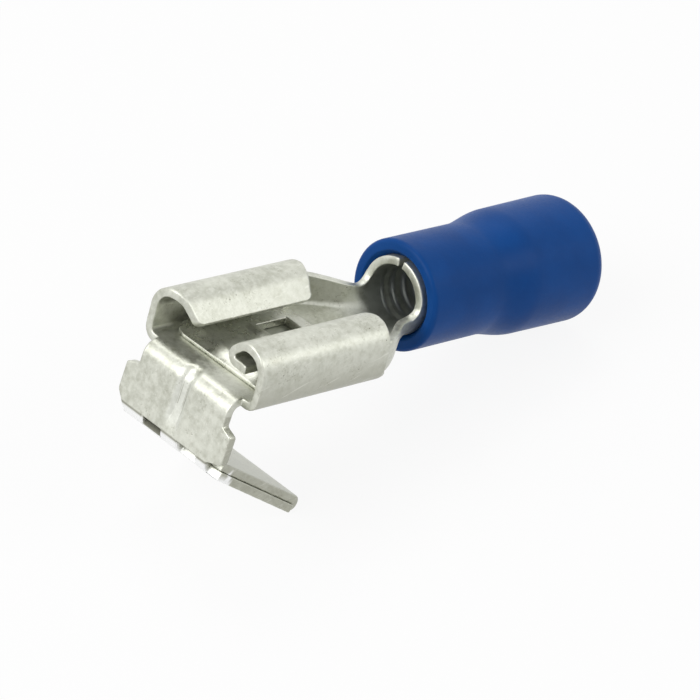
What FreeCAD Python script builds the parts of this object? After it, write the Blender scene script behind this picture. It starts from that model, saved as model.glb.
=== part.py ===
import FreeCAD, Part
import math
import os
from FreeCAD import Vector

# Piggyback spade terminal: a folded terminal of thin sheet, a floor plate
# lying in its receptacle and a flared insulating sleeve on its crimp barrel.
# Millimetres. The terminal is drawn level, x from the receptacle's mouth to
# the cable end, z up from the floor's underside, and laid to rest at the end.

# sheet
sheet = 0.4
fold_gap = 0.02

# receptacle
recept_length = 7.8
recept_width = 7.4
foot_radius = 0.65
roll_radius = 1.2
roll_top = 2.85
roll_lean = 45.0
far_leg = 0.95
near_leg = 0.32
near_hook_radius = 0.5
near_return = 0.75
far_setback = 0.65
near_setback = 0.2
rear_setback = 0.58
setback_start = 1.5
roll_tip_line = 0.6

# front plate and its two bends
top_bend_radius = 0.75
plate_lean = 6.0
plate_drop = 3.9
low_bend_radius = 0.62
neck_half = 2.8
far_plate_half = 3.5
near_plate_half = 3.4
shoulder_drop = 0.95
notch_top = 2.5
notch_depth = 0.95
web_half = 0.56
window_width = 1.18
window_shift = 0.1
window_rise = 0.4

# pressed rib down the front plate
rib_radius = 0.42
rib_depth = 0.22
rib_fade = 0.14
rib_overrun = 0.2
rib_length = 2.95

# male tab, two layers of the sheet
tab_width = 6.35
tab_length = 6.5
tab_slope = 29.0
tab_corner = 0.5
upper_layer_back = -0.1

# floor plate
floor_plate_thickness = 0.4
floor_plate_front = 1.05
floor_plate_rear = 7.3
floor_plate_corner = 0.7
lip_x = 4.35
lip_radius = 0.28
lip_width = 3.4
plate_window_length = 1.9
plate_window_width = 3.0

# neck
neck_gap = 0.14
neck_lap = 0.04
neck_half_start = 3.45
neck_wall_start = 1.95
neck_wall_end = 1.3
neck_taper = [(0.28, 3.25, 0.12), (0.5, 2.8, 0.3), (0.75, 2.25, 0.65)]
neck_rise_run = 0.5
neck_rise = 0.25
neck_steps = 24
trough_open = 0.35
slit_floor = 0.55

# crimp barrel
barrel_od = 3.7
barrel_front = 11.5
barrel_length = 5.2
barrel_axis_z = 1.75
seam_gap = 0.26
seam_turn = 14.0
serration_count = 5
serration_pitch = 0.72
serration_width = 0.3
serration_depth = 0.1
serration_start = 0.85

# insulating sleeve
sleeve_front = 11.6
sleeve_length = 11.25
sleeve_od = 5.24
sleeve_grip = 0.02
mouth_radius = 2.3
mouth_depth = 0.8
rim_round = 0.26
shoulder_start = 16.1
shoulder_end = 18.4
flare_od = 6.05
shoulder_flat = 0.05
entry_radius = 2.2
rear_flat = 0.04
funnel_start = 0.15
funnel_length = 1.6

barrel_radius = barrel_od / 2.0
barrel_bore = barrel_radius - sheet
barrel_end = barrel_front + barrel_length
sleeve_end = sleeve_front + sleeve_length
sleeve_bore = barrel_radius + sleeve_grip
flare_radius = flare_od / 2.0
rear_round = flare_radius - entry_radius - rear_flat
half_width = recept_width / 2.0
wall_top = roll_top - roll_radius
mid = sheet / 2.0


def ribbon(start, heading, moves, thickness, place):
    """Closed face of a strip that follows straight and turning moves."""
    half = thickness / 2.0
    here = start
    angle = math.radians(heading)
    left = []
    right = []

    def side(point, direction, offset):
        return place(point[0] - math.sin(direction) * offset,
                     point[1] + math.cos(direction) * offset)

    first = (side(here, angle, half), side(here, angle, -half))
    for kind, size, sweep in moves:
        if kind == "line":
            ahead = (here[0] + size * math.cos(angle), here[1] + size * math.sin(angle))
            for edges, offset in ((left, half), (right, -half)):
                edges.append(Part.makeLine(side(here, angle, offset), side(ahead, angle, offset)))
            here = ahead
        else:
            turn = math.radians(sweep)
            sign = 1.0 if turn > 0 else -1.0
            centre = (here[0] - math.sin(angle) * size * sign, here[1] + math.cos(angle) * size * sign)
            spots = []
            for part in (0.0, 0.5, 1.0):
                at = angle + turn * part
                spots.append(((centre[0] + math.sin(at) * size * sign,
                               centre[1] - math.cos(at) * size * sign), at))
            for edges, offset in ((left, half), (right, -half)):
                three = [side(point, at, offset) for point, at in spots]
                edges.append(Part.Arc(three[0], three[1], three[2]).toShape())
            here = spots[2][0]
            angle = angle + turn
    last = (side(here, angle, half), side(here, angle, -half))
    edges = left + [Part.makeLine(last[0], last[1])] + right[::-1] + [Part.makeLine(first[1], first[0])]
    wire = Part.Wire(Part.__sortEdges__(edges))
    return Part.Face(wire), here, math.degrees(angle)


def across(y, z):
    return Vector(0, y, z)


def along(x, z):
    return Vector(x, 0, z)


def rounded_loop(corners, place):
    """Face of a closed outline whose corners are (a, b, radius)."""
    count = len(corners)
    cuts = []
    for index in range(count):
        a, b, radius = corners[index]
        pa, pb = corners[index - 1][:2]
        na, nb = corners[(index + 1) % count][:2]
        back = (pa - a, pb - b)
        fore = (na - a, nb - b)
        lb = math.hypot(back[0], back[1])
        lf = math.hypot(fore[0], fore[1])
        back = (back[0] / lb, back[1] / lb)
        fore = (fore[0] / lf, fore[1] / lf)
        cosine = max(-1.0, min(1.0, back[0] * fore[0] + back[1] * fore[1]))
        half = math.acos(cosine) / 2.0
        if radius <= 0 or half > math.radians(88):
            cuts.append(((a, b), None, (a, b)))
            continue
        reach = min(radius / math.tan(half), 0.48 * lb, 0.48 * lf)
        used = reach * math.tan(half)
        bis = (back[0] + fore[0], back[1] + fore[1])
        length = math.hypot(bis[0], bis[1])
        bis = (bis[0] / length, bis[1] / length)
        centre_off = used / math.sin(half)
        middle = (a + bis[0] * (centre_off - used), b + bis[1] * (centre_off - used))
        cuts.append(((a + back[0] * reach, b + back[1] * reach), middle,
                     (a + fore[0] * reach, b + fore[1] * reach)))
    edges = []
    for index in range(count):
        enter, middle, leave = cuts[index]
        if middle is not None:
            edges.append(Part.Arc(place(*enter), place(*middle), place(*leave)).toShape())
        following = cuts[(index + 1) % count][0]
        if math.hypot(following[0] - leave[0], following[1] - leave[1]) > 1e-6:
            edges.append(Part.makeLine(place(*leave), place(*following)))
    return Part.Face(Part.Wire(edges))


def box(x0, x1, y0, y1, z0, z1):
    return Part.makeBox(x1 - x0, y1 - y0, z1 - z0, Vector(x0, y0, z0))


def joined(first, *others):
    for other in others:
        first = first.fuse(other)
    return first


def receptacle():
    """Floor, feet, walls and the two spring rolls, as one bent section."""
    floor_run = half_width - foot_radius
    wall_run = wall_top - foot_radius
    foot = ("turn", foot_radius - mid, 90.0)
    over = ("turn", roll_radius - mid, 90.0 + roll_lean)
    far_moves = [("line", floor_run, 0), foot, ("line", wall_run, 0), over, ("line", far_leg, 0)]
    near_moves = [("line", floor_run, 0), foot, ("line", wall_run, 0), over, ("line", near_leg, 0),
                  ("turn", near_hook_radius - mid, 180.0 - roll_lean), ("line", near_return, 0)]
    far_face = ribbon((0.0, mid), 0.0, far_moves, sheet, across)[0]
    near_face = ribbon((0.0, mid), 0.0, near_moves, sheet, lambda y, z: across(-y, z))[0]
    length = Vector(recept_length, 0, 0)
    far_side = far_face.extrude(length)
    near_side = near_face.extrude(length)
    far_side = far_side.cut(roll_trim(1.0, far_setback)).cut(rear_trim(1.0))
    near_side = near_side.cut(roll_trim(-1.0, near_setback)).cut(rear_trim(-1.0))
    return joined(far_side, near_side).removeSplitter()


def roll_trim(side, setback):
    """Wedge that sets a roll's front end back towards its inner tip."""
    outer = side * (half_width - roll_radius)
    beyond = side * (half_width + 1.0)
    tip = side * roll_tip_line
    low = sheet + floor_plate_thickness
    upper = [(-1.0, beyond), (0.0, beyond), (0.0, outer), (setback, tip), (setback, 0.0), (-1.0, 0.0), (-1.0, beyond)]
    lower = [(-1.0, outer), (0.0, outer), (setback, tip), (setback, 0.0), (-1.0, 0.0), (-1.0, outer)]
    over = Part.Face(Part.makePolygon([Vector(x, y, setback_start) for x, y in upper]))
    under = Part.Face(Part.makePolygon([Vector(x, y, low) for x, y in lower]))
    return over.extrude(Vector(0, 0, roll_top)).fuse(under.extrude(Vector(0, 0, roll_top - low)))


def rear_trim(side):
    """Wedge that sets a roll's rear end forward towards its inner tip."""
    outer = side * (half_width - roll_radius)
    tip = side * roll_tip_line
    low = sheet + floor_plate_thickness
    back = recept_length
    corners = [(back + 1.0, outer), (back, outer), (back - rear_setback, tip), (back - rear_setback, 0.0),
               (back + 1.0, 0.0), (back + 1.0, outer)]
    face = Part.Face(Part.makePolygon([Vector(x, y, low) for x, y in corners]))
    return face.extrude(Vector(0, 0, roll_top))


def plate_moves():
    drop = plate_drop - top_bend_radius - low_bend_radius
    return [("line", 0.05, 0), ("turn", top_bend_radius - mid, 90.0 - plate_lean), ("line", drop, 0),
            ("turn", low_bend_radius - mid, 90.0 - tab_slope + plate_lean)]


def front_plate():
    """Both bends and the plate between them, cut to its outline."""
    face, here, heading = ribbon((0.05, mid), 180.0, plate_moves(), sheet, along)
    slab = face.extrude(Vector(0, 8.0, 0))
    slab.translate(Vector(0, -4.0, 0))
    low = here[1]
    tab_half = tab_width / 2.0
    outline = [
        (-neck_half, 1.0, 0), (-neck_half, -shoulder_drop, 0.3),
        (-near_plate_half, -shoulder_drop - 0.15, 0.3), (-near_plate_half, -notch_top, 0.35),
        (-neck_half + 0.3, -notch_top - 0.25, 0.2), (-neck_half + 0.3, -notch_top - 0.25 - 0.45, 0.2),
        (-tab_half, -notch_top - notch_depth, 0.1), (-tab_half, low - 1.0, 0),
        (tab_half, low - 1.0, 0), (tab_half, -notch_top - notch_depth, 0.1),
        (neck_half + 0.07, -notch_top - 0.62, 0.25), (far_plate_half, -notch_top + 0.1, 0.4),
        (far_plate_half, -shoulder_drop, 0.3), (neck_half, -shoulder_drop + 0.1, 0.3), (neck_half, 1.0, 0)]
    prism = rounded_loop(outline, lambda y, z: Vector(-3.0, y, z)).extrude(Vector(6.0, 0, 0))
    plate = slab.common(prism)
    bottom = plate_bottom()
    for inner in (web_half - window_shift, -web_half - window_shift - window_width):
        plate = plate.cut(box(-3.0, -0.15, inner, inner + window_width, bottom - 1.0, bottom + window_rise))
    return plate, here, heading


def plate_bottom():
    """Height of the lower bend's lowest outer surface."""
    before = ribbon((0.05, mid), 180.0, plate_moves()[:3], sheet, along)
    here = before[1]
    angle = math.radians(before[2])
    centre_z = here[1] + math.cos(angle) * (low_bend_radius - mid)
    return centre_z - low_bend_radius


def pressed_rib(plate):
    """Round-bottomed groove down the plate, with its bump behind."""
    moves = plate_moves()
    here, heading = ribbon((0.05, mid), 180.0, moves[:2], sheet, along)[1:]
    angle = math.radians(heading)
    down = Vector(math.cos(angle), 0, math.sin(angle))
    behind = Vector(-math.sin(angle), 0, math.cos(angle))
    middle = Vector(here[0], 0, here[1])
    top = middle - behind * (mid + rib_radius - rib_depth) - down * rib_overrun
    run = down - behind * (rib_fade / rib_length)
    groove = Part.makeCylinder(rib_radius, rib_length, top, run)
    groove = groove.fuse(Part.makeSphere(rib_radius, top))
    outer = rib_radius + sheet * 0.9
    bump = Part.makeCylinder(outer, rib_length - 0.6, top, run).fuse(Part.makeSphere(outer, top))
    corners = [middle, middle + down * rib_length, middle + down * rib_length + behind * 2.0, middle + behind * 2.0]
    rear_side = Part.Face(Part.makePolygon(corners + [middle])).extrude(Vector(0, 4.0, 0))
    rear_side.translate(Vector(0, -2.0, 0))
    bend_radius = top_bend_radius - mid
    bend_centre = middle + behind * bend_radius
    inside_bend = Part.makeCylinder(bend_radius, 4.0, bend_centre - Vector(0, 2.0, 0), Vector(0, 1, 0))
    bump = bump.common(rear_side.fuse(inside_bend))
    return plate.fuse(bump).cut(groove)


def male_tab(start, heading):
    """The tab's lower layer, its folded tip and the upper layer."""
    fold = (sheet + fold_gap) / 2.0
    straight = tab_length - sheet
    moves = [("line", straight, 0), ("turn", fold, 180.0), ("line", straight - upper_layer_back, 0)]
    face, here, turned = ribbon(start, heading, moves, sheet, along)
    tab = face.extrude(Vector(0, tab_width, 0))
    tab.translate(Vector(0, -tab_width / 2.0, 0))
    slope = math.radians(tab_slope)
    ahead = Vector(math.cos(slope), 0, -math.sin(slope))
    up = Vector(math.sin(slope), 0, math.cos(slope))
    origin = Vector(start[0], 0, start[1])
    half = tab_width / 2.0
    end = straight + fold + sheet + 0.05
    outline = [(-1.0, -half, 0), (end, -half, tab_corner), (end, half, tab_corner), (-1.0, half, 0)]

    def on_tab(run, y):
        return origin + ahead * run + Vector(0, y, 0) - up * 2.0

    prism = rounded_loop(outline, on_tab).extrude(up * 4.0)
    return tab.common(prism)


def trough_wire(x, half, wall, radius, blend, inset):
    """Outline of a trough section, from flat-floored to round with blend."""
    names = []
    for index in range(neck_steps + 1):
        share = index / float(neck_steps)
        # flat-floored section
        run = half - inset
        corner = max(radius - inset, 0.05)
        height = wall - inset
        flat_run = max(run - corner, 0.01)
        side_run = max(wall - radius, 0.01)
        arc = corner * math.pi / 2.0
        total = 2.0 * (flat_run + arc + side_run)
        walk = share * total
        names.append((flat_point(walk, run, corner, flat_run, arc, side_run, inset),
                      round_point(share, inset, wall)))
    points = []
    for flat, circle in names:
        points.append(Vector(x, flat[0] * (1 - blend) + circle[0] * blend,
                             flat[1] * (1 - blend) + circle[1] * blend))
    curve = Part.BSplineCurve()
    curve.interpolate(points)
    return Part.Wire([curve.toShape(), Part.makeLine(points[-1], points[0])])


def flat_point(walk, run, corner, flat_run, arc, side_run, inset):
    total = 2.0 * (flat_run + arc + side_run)
    sign = 1.0
    if walk > total / 2.0:
        walk = total - walk
        sign = -1.0
    top = inset + corner + side_run
    if walk <= side_run:
        return (sign * run, top - walk)
    walk = walk - side_run
    if walk <= arc:
        angle = walk / corner
        return (sign * (run - corner + corner * math.cos(angle)), inset + corner - corner * math.sin(angle))
    walk = walk - arc
    return (sign * (flat_run - walk), inset)


def round_point(share, inset, wall):
    radius = barrel_radius - inset
    reach = math.acos(max(-1.0, min(1.0, (barrel_axis_z - wall) / barrel_radius)))
    angle = reach * (1.0 - 2.0 * share)
    return (radius * math.sin(angle), barrel_axis_z - radius * math.cos(angle))


def neck():
    """Trough that narrows from the receptacle's floor to the barrel."""
    start = recept_length - 0.3
    span = barrel_front - recept_length
    stations = [(start, neck_half_start, 0.0), (recept_length + 0.1, neck_half_start, 0.0)]
    for share, half, blend in neck_taper:
        stations.append((recept_length + share * span, half, blend))
    stations = stations + [(barrel_front - 0.1, barrel_radius, 1.0), (barrel_front + 0.3, barrel_radius, 1.0)]
    shells = []
    for inset in (neck_lap, sheet - neck_lap):
        wires = []
        for x, half, blend in stations:
            wall = neck_wall_start + (neck_wall_end - neck_wall_start) * blend
            climb = max(0.0, x - barrel_front + neck_rise_run) / neck_rise_run
            wall = wall + neck_rise * climb * climb
            if inset > neck_lap:
                wall = wall + trough_open
            wires.append(trough_wire(x, half, wall, foot_radius, blend, inset))
        shells.append(Part.makeLoft(wires, True, False))
    trough = shells[0].cut(shells[1])
    slit = box(start - 1.0, recept_length + neck_gap, -5.0, 5.0, slit_floor, 5.0)
    corner_out = box(start - 1.0, recept_length + neck_gap, half_width - foot_radius, 5.0, -1.0, 5.0)
    other_out = box(start - 1.0, recept_length + neck_gap, -5.0, foot_radius - half_width, -1.0, 5.0)
    return trough.cut(slit).cut(corner_out).cut(other_out)


def barrel():
    """Rolled tube with a butt seam on top and serrations inside."""
    base = Vector(barrel_front, 0, barrel_axis_z)
    ahead = Vector(1, 0, 0)
    tube = Part.makeCylinder(barrel_radius, barrel_length, base, ahead)
    tube = tube.cut(Part.makeCylinder(barrel_bore, barrel_length + 2.0, base - ahead, ahead))
    for index in range(serration_count):
        place = base + ahead * (serration_start + index * serration_pitch)
        ring = Part.makeCylinder(barrel_bore + serration_depth, serration_width, place, ahead)
        tube = tube.cut(ring)
    half = seam_gap / 2.0
    seam = box(barrel_front - 1.0, barrel_end + 1.0, -half, half, barrel_axis_z, barrel_axis_z + barrel_od)
    seam.rotate(base, ahead, seam_turn)
    return tube.cut(seam)


def terminal():
    plate, here, heading = front_plate()
    plate = pressed_rib(plate)
    tab = male_tab(here, heading)
    body = joined(receptacle(), neck(), barrel())
    return joined(body, plate, tab)


def floor_plate():
    """Second sheet on the receptacle's floor, with a lip and a window."""
    half = half_width - foot_radius
    outline = [(floor_plate_front, -half, 0.25), (floor_plate_rear, -half, 0.25),
               (floor_plate_rear, half, 0.25), (floor_plate_front, half, floor_plate_corner)]
    face = rounded_loop(outline, lambda x, y: Vector(x, y, sheet))
    plate = face.extrude(Vector(0, 0, floor_plate_thickness))
    top = sheet + floor_plate_thickness
    lip = Part.makeCylinder(lip_radius, lip_width, Vector(lip_x, -lip_width / 2.0, top - 0.06), Vector(0, 1, 0))
    plate = plate.fuse(lip.common(box(0, 9, -4, 4, sheet + 0.05, 3)))
    window_start = lip_x + lip_radius
    half_window = plate_window_width / 2.0
    opening = rounded_loop([(window_start, -half_window, 0.3), (window_start + plate_window_length, -half_window, 0.3),
                            (window_start + plate_window_length, half_window, 0.3), (window_start, half_window, 0.3)],
                           lambda x, y: Vector(x, y, 0))
    return plate.removeSplitter().cut(opening.extrude(Vector(0, 0, 3)))


def sleeve():
    """Turned insulating sleeve: mouth, grip, shoulder and flared entry."""
    front_r = sleeve_od / 2.0
    flare_r = flare_radius
    wall_end = barrel_end + funnel_start

    def at(x, radius):
        return Vector(x, 0, radius)

    root = math.sqrt(0.5)
    edges = []
    edges.append(Part.makeLine(at(sleeve_front, mouth_radius), at(sleeve_front, front_r - rim_round)))
    edges.append(Part.Arc(at(sleeve_front, front_r - rim_round),
                          at(sleeve_front + rim_round * (1 - root), front_r - rim_round * (1 - root)),
                          at(sleeve_front + rim_round, front_r)).toShape())
    edges.append(Part.makeLine(at(sleeve_front + rim_round, front_r), at(shoulder_start, front_r)))
    rise = flare_r - shoulder_flat - front_r
    half_run = (shoulder_end - shoulder_start) / 2.0
    bend = (half_run * half_run + rise * rise / 4.0) / rise
    swing = math.asin(half_run / bend) / 2.0
    crest_r = flare_r - shoulder_flat
    turn = at(shoulder_start + half_run, front_r + rise / 2.0)
    edges.append(Part.Arc(at(shoulder_start, front_r),
                          at(shoulder_start + bend * math.sin(swing), front_r + bend * (1 - math.cos(swing))),
                          turn).toShape())
    edges.append(Part.Arc(turn, at(shoulder_end - bend * math.sin(swing), crest_r - bend * (1 - math.cos(swing))),
                          at(shoulder_end, crest_r)).toShape())
    edges.append(Part.makeLine(at(shoulder_end, crest_r), at(sleeve_end - rear_round, flare_r)))
    edges.append(Part.Arc(at(sleeve_end - rear_round, flare_r),
                          at(sleeve_end - rear_round * (1 - root), flare_r - rear_round * (1 - root)),
                          at(sleeve_end, flare_r - rear_round)).toShape())
    edges.append(Part.makeLine(at(sleeve_end, flare_r - rear_round), at(sleeve_end, entry_radius)))
    bore_turn = wall_end + funnel_length
    edges.append(Part.makeLine(at(sleeve_end, entry_radius), at(bore_turn, entry_radius)))
    edges.append(Part.makeLine(at(bore_turn, entry_radius), at(wall_end, sleeve_bore)))
    edges.append(Part.makeLine(at(wall_end, sleeve_bore), at(sleeve_front + mouth_depth, sleeve_bore)))
    edges.append(Part.makeLine(at(sleeve_front + mouth_depth, sleeve_bore), at(sleeve_front, mouth_radius)))
    face = Part.Face(Part.Wire(edges))
    body = face.revolve(Vector(0, 0, 0), Vector(1, 0, 0), 360)
    body.translate(Vector(0, 0, barrel_axis_z))
    return body


def resting(pieces, fold_centre):
    """Turn and move every piece so the tab's tip and the sleeve's rear touch z = 0."""
    tip_round = sheet + fold_gap / 2.0
    rear_x = sleeve_end - rear_round
    rear_z = barrel_axis_z - (flare_radius - rear_round)
    run = rear_x - fold_centre[0]
    rise = rear_z - fold_centre[1]
    slope = math.atan2(rise, run) - math.asin((rear_round - tip_round) / math.hypot(run, rise))
    for shape in pieces.values():
        shape.rotate(Vector(0, 0, 0), Vector(0, 1, 0), math.degrees(slope))
    lows = []
    fronts = []
    rears = []
    for shape in pieces.values():
        corners = shape.tessellate(0.005)[0]
        lows.append(min(point.z for point in corners))
        fronts.append(min(point.x for point in corners))
        rears.append(max(point.x for point in corners))
    shift = Vector(-(min(fronts) + max(rears)) / 2.0, 0, -min(lows))
    for shape in pieces.values():
        shape.translate(shift)
    return slope, shift


def main():
    _, here, heading = ribbon((0.05, mid), 180.0, plate_moves(), sheet, along)
    slope_rad = math.radians(heading)
    straight = tab_length - sheet
    fold = (sheet + fold_gap) / 2.0
    end = (here[0] + straight * math.cos(slope_rad), here[1] + straight * math.sin(slope_rad))
    fold_centre = (end[0] - math.sin(slope_rad) * fold, end[1] + math.cos(slope_rad) * fold)
    pieces = {"terminal_stamping": terminal(), "floor_plate": floor_plate(), "insulating_sleeve": sleeve()}
    slope, shift = resting(pieces, fold_centre)
    os.makedirs("parts", exist_ok=True)
    for name, shape in pieces.items():
        shape.exportStep("parts/" + name + ".step")
        print(name, "solids", len(shape.Solids), "valid", shape.isValid(), "volume", round(shape.Volume, 3))
    print("rest slope", round(math.degrees(slope), 3), "shift", shift)


main()
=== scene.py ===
import math
import bpy
import numpy as np
from mathutils import Matrix, Vector


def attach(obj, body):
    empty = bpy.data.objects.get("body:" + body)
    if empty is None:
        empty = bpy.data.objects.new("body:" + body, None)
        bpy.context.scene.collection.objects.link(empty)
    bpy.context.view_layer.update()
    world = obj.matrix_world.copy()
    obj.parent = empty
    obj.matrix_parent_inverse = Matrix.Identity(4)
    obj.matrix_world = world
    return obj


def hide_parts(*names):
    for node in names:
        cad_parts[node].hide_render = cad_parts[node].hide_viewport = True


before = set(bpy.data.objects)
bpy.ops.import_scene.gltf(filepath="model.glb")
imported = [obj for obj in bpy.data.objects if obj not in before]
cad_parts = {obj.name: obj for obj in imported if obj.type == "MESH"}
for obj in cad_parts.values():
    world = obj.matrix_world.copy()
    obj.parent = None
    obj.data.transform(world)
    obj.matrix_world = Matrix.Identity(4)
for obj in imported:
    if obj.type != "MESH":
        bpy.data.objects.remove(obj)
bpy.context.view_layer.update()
print("frame loaded")

# The terminal is shaped level, in millimetres: x from its mouth to the cable end,
# z up from the receptacle's underside. Laying it down turns and moves every point.
lie = {"slope": 16.53059, "shiftX": -10.63208, "shiftZ": 7.53284, "metre": 0.001}

sheetValues = {"thickness": 0.4, "edgeRound": 0.055, "edgeSteps": 2, "weld": 0.004}


def laidDown(points):
    # level point (x, y, z) turned about +Y by the slope, then moved, millimetres to metres
    slope = math.radians(lie["slope"])
    x, y, z = points[:, 0], points[:, 1], points[:, 2]
    turned = np.stack([x * math.cos(slope) + z * math.sin(slope) + lie["shiftX"],
                       y,
                       z * math.cos(slope) - x * math.sin(slope) + lie["shiftZ"]], axis=1)
    return turned * lie["metre"]


def smoothStep(low, high, value):
    # 3t^2 - 2t^3 with t running from 0 at low to 1 at high
    share = np.clip((value - low) / (high - low), 0.0, 1.0)
    return share * share * (3.0 - 2.0 * share)


def softened(values, width):
    # running average over a bell of the given width in samples, ends held
    reach = int(3 * width)
    bell = np.exp(-0.5 * (np.arange(-reach, reach + 1) / width) ** 2)
    held = np.pad(values, reach, mode="edge")
    return np.convolve(held, bell / bell.sum(), mode="valid")


def waver(along, seed, size, pitch):
    # sum of four sines whose wavelengths shrink from the pitch, with seeded phases
    rng = np.random.default_rng(seed)
    total = np.zeros_like(along)
    for order in range(1, 5):
        phase = rng.uniform(0, 2 * math.pi)
        total = total + np.sin(2 * math.pi * along * order ** 1.3 / pitch + phase) / order
    return size * total / 2.0


def curveThrough(x, knotX, knotY):
    # cubic Hermite curve through the knots with slopes taken from their neighbours
    knotX, knotY = np.asarray(knotX, float), np.asarray(knotY, float)
    slopes = np.gradient(knotY, knotX)
    slopes[0] = slopes[-1] = 0.0
    index = np.clip(np.searchsorted(knotX, x) - 1, 0, len(knotX) - 2)
    width = knotX[index + 1] - knotX[index]
    t = np.clip((x - knotX[index]) / width, 0.0, 1.0)
    return ((2 * t ** 3 - 3 * t ** 2 + 1) * knotY[index] + (t ** 3 - 2 * t ** 2 + t) * width * slopes[index]
            + (3 * t ** 2 - 2 * t ** 3) * knotY[index + 1] + (t ** 3 - t ** 2) * width * slopes[index + 1])


def walked(moves, start, heading, along):
    # point (a, b) and heading at each distance along a chain of straight and turning moves
    a, b = np.zeros_like(along), np.zeros_like(along)
    turn = np.zeros_like(along)
    here, angle, reached = start, math.radians(heading), 0.0
    for order, (kind, size, sweep) in enumerate(moves):
        bend = math.radians(sweep)
        length = size if kind == "line" else size * abs(bend)
        inside = along >= reached - 1e-9 if order else np.ones(len(along), bool)
        run = np.clip(along[inside] - reached, 0.0, length)
        if kind == "line":
            a[inside] = here[0] + run * math.cos(angle)
            b[inside] = here[1] + run * math.sin(angle)
            turn[inside] = angle
            here = (here[0] + length * math.cos(angle), here[1] + length * math.sin(angle))
        else:
            sign = math.copysign(1.0, bend)
            centre = (here[0] - math.sin(angle) * size * sign, here[1] + math.cos(angle) * size * sign)
            at = angle + sign * run / size
            a[inside] = centre[0] + np.sin(at) * size * sign
            b[inside] = centre[1] - np.cos(at) * size * sign
            turn[inside] = at
            angle = angle + bend
            here = (centre[0] + math.sin(angle) * size * sign, centre[1] - math.cos(angle) * size * sign)
        reached = reached + length
    return a, b, turn


def pathLength(moves):
    return sum(size if kind == "line" else size * abs(math.radians(sweep)) for kind, size, sweep in moves)


def spread(stops, counts):
    # even places from stop to stop, each stretch with its own count, its ends included
    parts = [np.linspace(low, high, count)[1:] for low, high, count in zip(stops[:-1], stops[1:], counts)]
    return np.concatenate([stops[:1]] + parts)


def cornerInset(radius, fromEnd):
    # how far a round corner draws an edge in: r - sqrt(r^2 - (r - distance from the end)^2)
    inward = np.clip(radius - fromEnd, 0.0, None)
    return radius - np.sqrt(np.maximum(radius ** 2 - inward ** 2, 0.0))


def gridFaces(rows, columns, first=0, keep=None):
    # quads between neighbouring rows and columns of a grid numbered row by row
    corner = first + (np.arange(rows - 1)[:, None] * columns + np.arange(columns - 1)[None, :])
    quads = np.stack([corner, corner + 1, corner + columns + 1, corner + columns], axis=-1)
    if keep is not None:
        return quads[keep]
    return quads.reshape(-1, 4)


def usedOnly(points, quads):
    # the points that a quad uses, and the quads renumbered to them
    used = np.unique(quads)
    renumber = np.full(len(points), -1)
    renumber[used] = np.arange(len(used))
    return points[used], renumber[quads]


def newMesh(name, points, quads):
    mesh = bpy.data.meshes.new(name)
    mesh.from_pydata(points.tolist(), [], quads.tolist())
    mesh.update()
    piece = bpy.data.objects.new(name, mesh)
    bpy.context.scene.collection.objects.link(piece)
    return piece


def meshPoints(mesh):
    flat = np.zeros(len(mesh.vertices) * 3)
    mesh.vertices.foreach_get("co", flat)
    return flat.reshape(-1, 3)


def meshNormals(mesh):
    flat = np.zeros(len(mesh.vertices) * 3)
    mesh.vertex_normals.foreach_get("vector", flat)
    return flat.reshape(-1, 3)


def setPoints(mesh, points):
    mesh.vertices.foreach_set("co", points.ravel())
    mesh.update()


def applied(piece):
    # the piece's mesh with its modifiers worked in and taken off
    depsgraph = bpy.context.evaluated_depsgraph_get()
    mesh = bpy.data.meshes.new_from_object(piece.evaluated_get(depsgraph))
    piece.modifiers.clear()
    old = piece.data
    piece.data = mesh
    bpy.data.meshes.remove(old)
    return mesh


def merged(piece, distance):
    weld = piece.modifiers.new("weld", "WELD")
    weld.merge_threshold = distance
    return applied(piece)


def thickened(piece, thickness):
    solid = piece.modifiers.new("thick", "SOLIDIFY")
    solid.thickness = thickness
    solid.offset = 0.0
    return applied(piece)


def edgesRounded(piece, width, steps, limit=42.0):
    bevel = piece.modifiers.new("edges", "BEVEL")
    bevel.width = width
    bevel.segments = steps
    bevel.limit_method = "ANGLE"
    bevel.angle_limit = math.radians(limit)
    bevel.use_clamp_overlap = False
    bevel.harden_normals = False
    return applied(piece)


def smoothShaded(mesh, angle=50.0):
    mesh.shade_smooth()
    mesh.set_sharp_from_angle(angle=math.radians(angle))


cameraValues = {"place": (-0.10414388, -0.10829612, 0.12550518), "ahead": (0.53461816, 0.56605297, -0.62750893),
                "right": (0.73861653, -0.67378343, 0.02148289), "lens": 219.96, "sensor": 36.0,
                "shiftX": 0.00508, "shiftY": -0.02939}


def placeCamera(values):
    data = bpy.data.cameras.new("camera")
    data.lens = values["lens"]
    data.sensor_width = values["sensor"]
    data.shift_x = values["shiftX"]
    data.shift_y = values["shiftY"]
    data.clip_start = 0.005
    data.clip_end = 10.0
    camera = bpy.data.objects.new("camera", data)
    bpy.context.scene.collection.objects.link(camera)
    back = -Vector(values["ahead"]).normalized()
    right = Vector(values["right"]).normalized()
    up = back.cross(right)
    camera.matrix_world = Matrix(((right.x, up.x, back.x, values["place"][0]),
                                  (right.y, up.y, back.y, values["place"][1]),
                                  (right.z, up.z, back.z, values["place"][2]),
                                  (0, 0, 0, 1)))
    bpy.context.scene.camera = camera


placeCamera(cameraValues)
bpy.context.scene.view_settings.view_transform = "Standard"
print("camera placed")


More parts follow.
